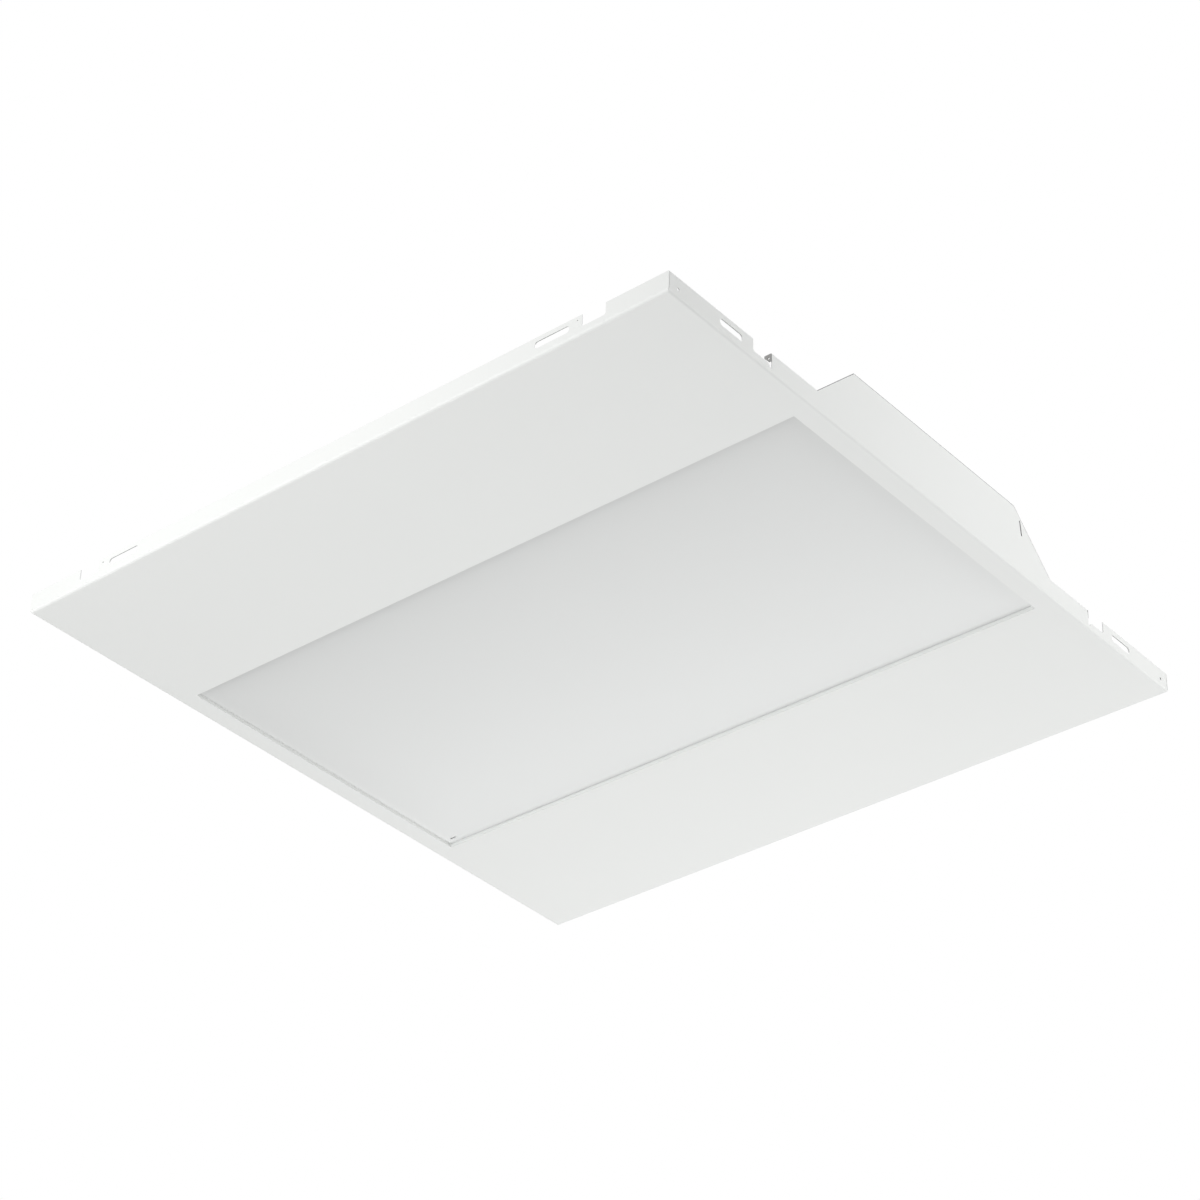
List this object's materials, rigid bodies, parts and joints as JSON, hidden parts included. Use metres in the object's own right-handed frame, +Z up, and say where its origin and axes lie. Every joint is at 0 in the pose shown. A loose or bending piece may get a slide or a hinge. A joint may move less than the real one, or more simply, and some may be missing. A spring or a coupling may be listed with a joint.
{
  "type": "recessed troffer light",
  "caption": "Square white steel ceiling-grid light with a long flush frosted lens, a sloped housing above it and a hinged wiring compartment on its back.",
  "frame": {"origin": "middle of the face's room-side plane, which is the middle of the bottom of the whole light", "axes": "+X along the lens's long side, +Y across the lens towards the wiring compartment, +Z up into the ceiling"},
  "size_m": [0.603, 0.603, 0.0598],
  "materials": {
    "white_enamel": "white powder coat, low gloss",
    "inner_enamel": "bright white reflector powder coat",
    "frosted_acrylic": "frosted, satin on the room side",
    "zinc_steel": "zinc plated",
    "bright_steel": "plain steel rod",
    "white_board": "white solder mask on aluminium",
    "led_phosphor": "yellow phosphor in a white cup",
    "nylon_white": "natural nylon",
    "red_insulation": "PVC",
    "black_insulation": "PVC",
    "white_insulation": "PVC",
    "green_insulation": "PVC",
    "black_rubber": "moulded",
    "driver_steel": "white painted steel",
    "green_board": "green solder mask",
    "winding_tape": "yellow tape over a ferrite core",
    "capacitor_sleeve": "shrunk sleeve",
    "copper_winding": "enamelled copper",
    "terminal_nylon": "moulded nylon",
    "connector_nylon": "clear amber nylon",
    "tinned_copper": "tinned"
  },
  "bodies": {
    "housing": {"face_pan": "white_enamel", "housing_shell": "white_enamel", "housing_screws": "zinc_steel", "board_screws": "zinc_steel", "board_connectors": "nylon_white", "board_jumpers": "white_insulation", "led_lead_red": "red_insulation", "led_lead_black": "black_insulation", "lead_bushing": "black_rubber", "driver_box": "white_enamel", "box_screws": "zinc_steel", "cover_hinge_pin": "bright_steel", "latch_bracket": "zinc_steel", "driver_case": "driver_steel", "driver_cover": "driver_steel", "driver_board": "green_board", "driver_transformer": "winding_tape", "driver_capacitors": "capacitor_sleeve", "driver_choke": "copper_winding", "driver_terminals": "terminal_nylon", "weld_studs": "zinc_steel", "stud_nuts": "zinc_steel", "supply_lead_black": "black_insulation", "supply_lead_white": "white_insulation", "ground_lead": "green_insulation", "ground_ring": "tinned_copper", "wire_connectors": "connector_nylon", "led_board_1": "white_board", "led_chips_1": "led_phosphor", "led_board_2": "white_board", "led_chips_2": "led_phosphor", "led_board_3": "white_board", "led_chips_3": "led_phosphor", "led_board_4": "white_board", "led_chips_4": "led_phosphor"},
    "lens_sheet": {"lens": "frosted_acrylic"},
    "cover": {"access_cover": "white_enamel"},
    "cover_lock": {"cover_screw": "zinc_steel"},
    "ear_1": {"grid_ear_1": "white_enamel"},
    "ear_2": {"grid_ear_2": "white_enamel"},
    "ear_3": {"grid_ear_3": "white_enamel"},
    "ear_4": {"grid_ear_4": "white_enamel"}
  },
  "joints": [
    {"name": "lens_lift", "type": "slide", "parent": "housing", "child": "lens_sheet", "axis": [0, 0, 1], "range_m": [0, 0.0025]},
    {"name": "cover_hinge", "type": "hinge", "parent": "housing", "child": "cover", "pos_m": [0, 0.26356, 0.0417], "axis": [-1, 0, 0], "range_deg": [0, 105]},
    {"name": "cover_screw_turn", "type": "hinge", "parent": "cover", "child": "cover_lock", "pos_m": [0, 0.12398, 0.044], "axis": [0, 0, 1], "range_deg": [0, 90]},
    {"name": "ear_bend_1", "type": "hinge", "parent": "housing", "child": "ear_1", "pos_m": [0.30115, -0.19245, 0.0134], "axis": [0, 0, 1], "range_deg": [0, 180]},
    {"name": "ear_bend_2", "type": "hinge", "parent": "housing", "child": "ear_2", "pos_m": [0.30115, 0.19245, 0.0134], "axis": [0, 0, -1], "range_deg": [0, 180]},
    {"name": "ear_bend_3", "type": "hinge", "parent": "housing", "child": "ear_3", "pos_m": [-0.30115, -0.19245, 0.0134], "axis": [0, 0, -1], "range_deg": [0, 180]},
    {"name": "ear_bend_4", "type": "hinge", "parent": "housing", "child": "ear_4", "pos_m": [-0.30115, 0.19245, 0.0134], "axis": [0, 0, 1], "range_deg": [0, 180]}
  ]
}
